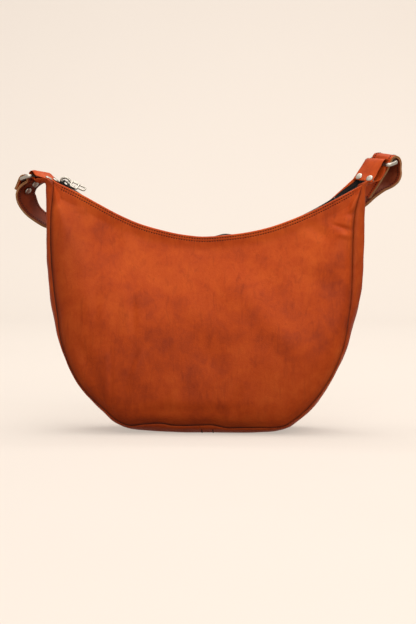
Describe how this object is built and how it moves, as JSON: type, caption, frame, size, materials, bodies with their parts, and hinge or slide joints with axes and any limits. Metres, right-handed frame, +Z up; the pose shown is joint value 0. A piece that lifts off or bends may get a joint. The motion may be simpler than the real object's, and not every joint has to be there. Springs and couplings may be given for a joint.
{
  "type": "half moon shoulder bag",
  "caption": "Half moon leather shoulder bag with a curved zip mouth, a gusset with a lap seam under it, and a short strap on wire rings at the horns.",
  "frame": {"origin": "middle of the flat of the base, on the surface that the bag stands on", "axes": "+X along the bag to the right as seen from the front, -Y out of the front panel, +Z up"},
  "size_m": [0.4704, 0.1158, 0.335],
  "materials": {
    "leather": "waxed, mottled cognac",
    "lining": "plain weave",
    "zip_tape": "woven tape",
    "zip_coil": "satin",
    "nickel": "bright nickel"
  },
  "bodies": {
    "bag": {"front_panel": "leather", "back_panel": "leather", "gusset_right": "leather", "gusset_left": "leather", "front_lining": "lining", "back_lining": "lining", "lining_gusset": "lining", "zip_tape_front": "zip_tape", "zip_tape_back": "zip_tape", "zip_coil_front": "zip_coil", "zip_coil_back": "zip_coil", "zip_top_stops": "nickel", "zip_bottom_stop": "nickel", "tab_left": "leather", "tab_right": "leather", "tab_rivets_left": "nickel", "tab_rivets_right": "nickel", "strap_end_left": "leather", "strap_end_right": "leather", "strap_rivets": "nickel"},
    "slider": {"zip_slider": "nickel", "zip_crown": "nickel"},
    "pull": {"zip_pull": "nickel"},
    "ring_left": {"ring_left": "nickel"},
    "ring_right": {"ring_right": "nickel"},
    "strap": {"strap": "leather"}
  },
  "joints": [
    {"name": "zip_slide", "type": "hinge", "parent": "bag", "child": "slider", "pos_m": [0.005, 0, 0.515], "axis": [0, -1, 0], "range_deg": [0, 66], "deforming": ["zip_tape_front", "zip_tape_back", "zip_coil_front", "zip_coil_back"]},
    {"name": "zip_pull_flip", "type": "hinge", "parent": "slider", "child": "pull", "pos_m": [-0.1638, 0, 0.29822], "axis": [0, -1, 0], "range_deg": [0, 125]},
    {"name": "ring_left_turn", "type": "hinge", "parent": "bag", "child": "ring_left", "pos_m": [-0.2012, 0.01274, 0.31045], "axis": [-0.5736, -0.8192, 0], "range_deg": [0, 10]},
    {"name": "ring_right_turn", "type": "hinge", "parent": "bag", "child": "ring_right", "pos_m": [0.20368, 0.01106, 0.32288], "axis": [-0.7134, 0.6824, 0.1591], "range_deg": [0, 10]},
    {"name": "strap_swing", "type": "hinge", "parent": "bag", "child": "strap", "pos_m": [-0.21312, 0.02109, 0.30682], "axis": [0.9989, -0.0003, 0.0475], "range_deg": [0, 170]}
  ]
}
